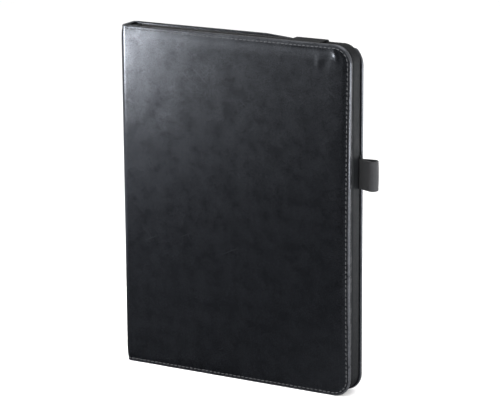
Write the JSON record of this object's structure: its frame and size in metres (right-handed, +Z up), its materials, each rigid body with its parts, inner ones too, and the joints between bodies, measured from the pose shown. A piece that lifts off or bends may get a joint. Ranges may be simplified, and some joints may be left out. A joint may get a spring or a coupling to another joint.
{
  "type": "tablet folio case",
  "caption": "Closed book-style tablet case with a padded front cover, a pocket with a front frame, a closing strap and a pen loop.",
  "frame": {"origin": "on the surface it stands on, below the middle of the whole object", "axes": "+Z up along the case's height, front cover faces -Y, spine at -X, free edge with the pen loop at +X"},
  "size_m": [0.211, 0.022, 0.265],
  "materials": {
    "gloss_leather": "glossy black faux leather, softly mottled",
    "matt_leather": "matt black faux leather with a fine grain",
    "suede": "short microfibre suede",
    "board": "grey-brown bookbinding board",
    "foam": "thin grey padding",
    "webbing": "dark grey woven elastic",
    "hook_tape": "black hook and loop tape",
    "magnet": "plated bar magnet",
    "thread_black": "twisted polyester thread",
    "thread_grey": "twisted polyester thread"
  },
  "bodies": {
    "back_cover": {"back_skin": "gloss_leather", "back_board": "board", "back_lining": "suede", "pen_loop_anchor": "webbing", "pocket_back_panel": "matt_leather", "pocket_back_lining": "suede", "pocket_wall_spine": "matt_leather", "pocket_wall_bottom": "matt_leather", "pocket_wall_free": "matt_leather", "frame_stiffener": "board", "frame_skin": "matt_leather", "strap_loop_patch": "hook_tape"},
    "spine": {"spine_skin": "gloss_leather", "spine_board": "board", "spine_lining": "suede"},
    "front_cover": {"front_skin": "gloss_leather", "front_foam": "foam", "front_board": "board", "wake_magnet": "magnet", "front_lining": "suede"},
    "strap": {"strap_top": "matt_leather"},
    "strap_tail": {"strap_tail": "matt_leather", "strap_hook_patch": "hook_tape"},
    "pen_loop": {"pen_loop": "webbing"}
  },
  "joints": [
    {"name": "spine_fold", "type": "hinge", "parent": "back_cover", "child": "spine", "pos_m": [-0.1055, 0.011, 0.1325], "axis": [0, 0, -1], "range_deg": [0, 175]},
    {"name": "cover_fold", "type": "hinge", "parent": "spine", "child": "front_cover", "pos_m": [-0.1055, -0.011, 0.1325], "axis": [0, 0, -1], "range_deg": [0, 175]},
    {"name": "strap_lift", "type": "hinge", "parent": "back_cover", "child": "strap", "pos_m": [0.0495, -0.00615, 0.265], "axis": [1, 0, 0], "range_deg": [0, 150]},
    {"name": "tail_peel", "type": "hinge", "parent": "strap", "child": "strap_tail", "pos_m": [0.0495, 0.01, 0.2647], "axis": [1, 0, 0], "range_deg": [0, 90]},
    {"name": "pen_loop_bend", "type": "hinge", "parent": "back_cover", "child": "pen_loop", "pos_m": [0.0903, 0.0065, 0.168], "axis": [0, 0, -1], "range_deg": [-20, 55], "stiffness_Nm_per_rad": 0.01}
  ]
}
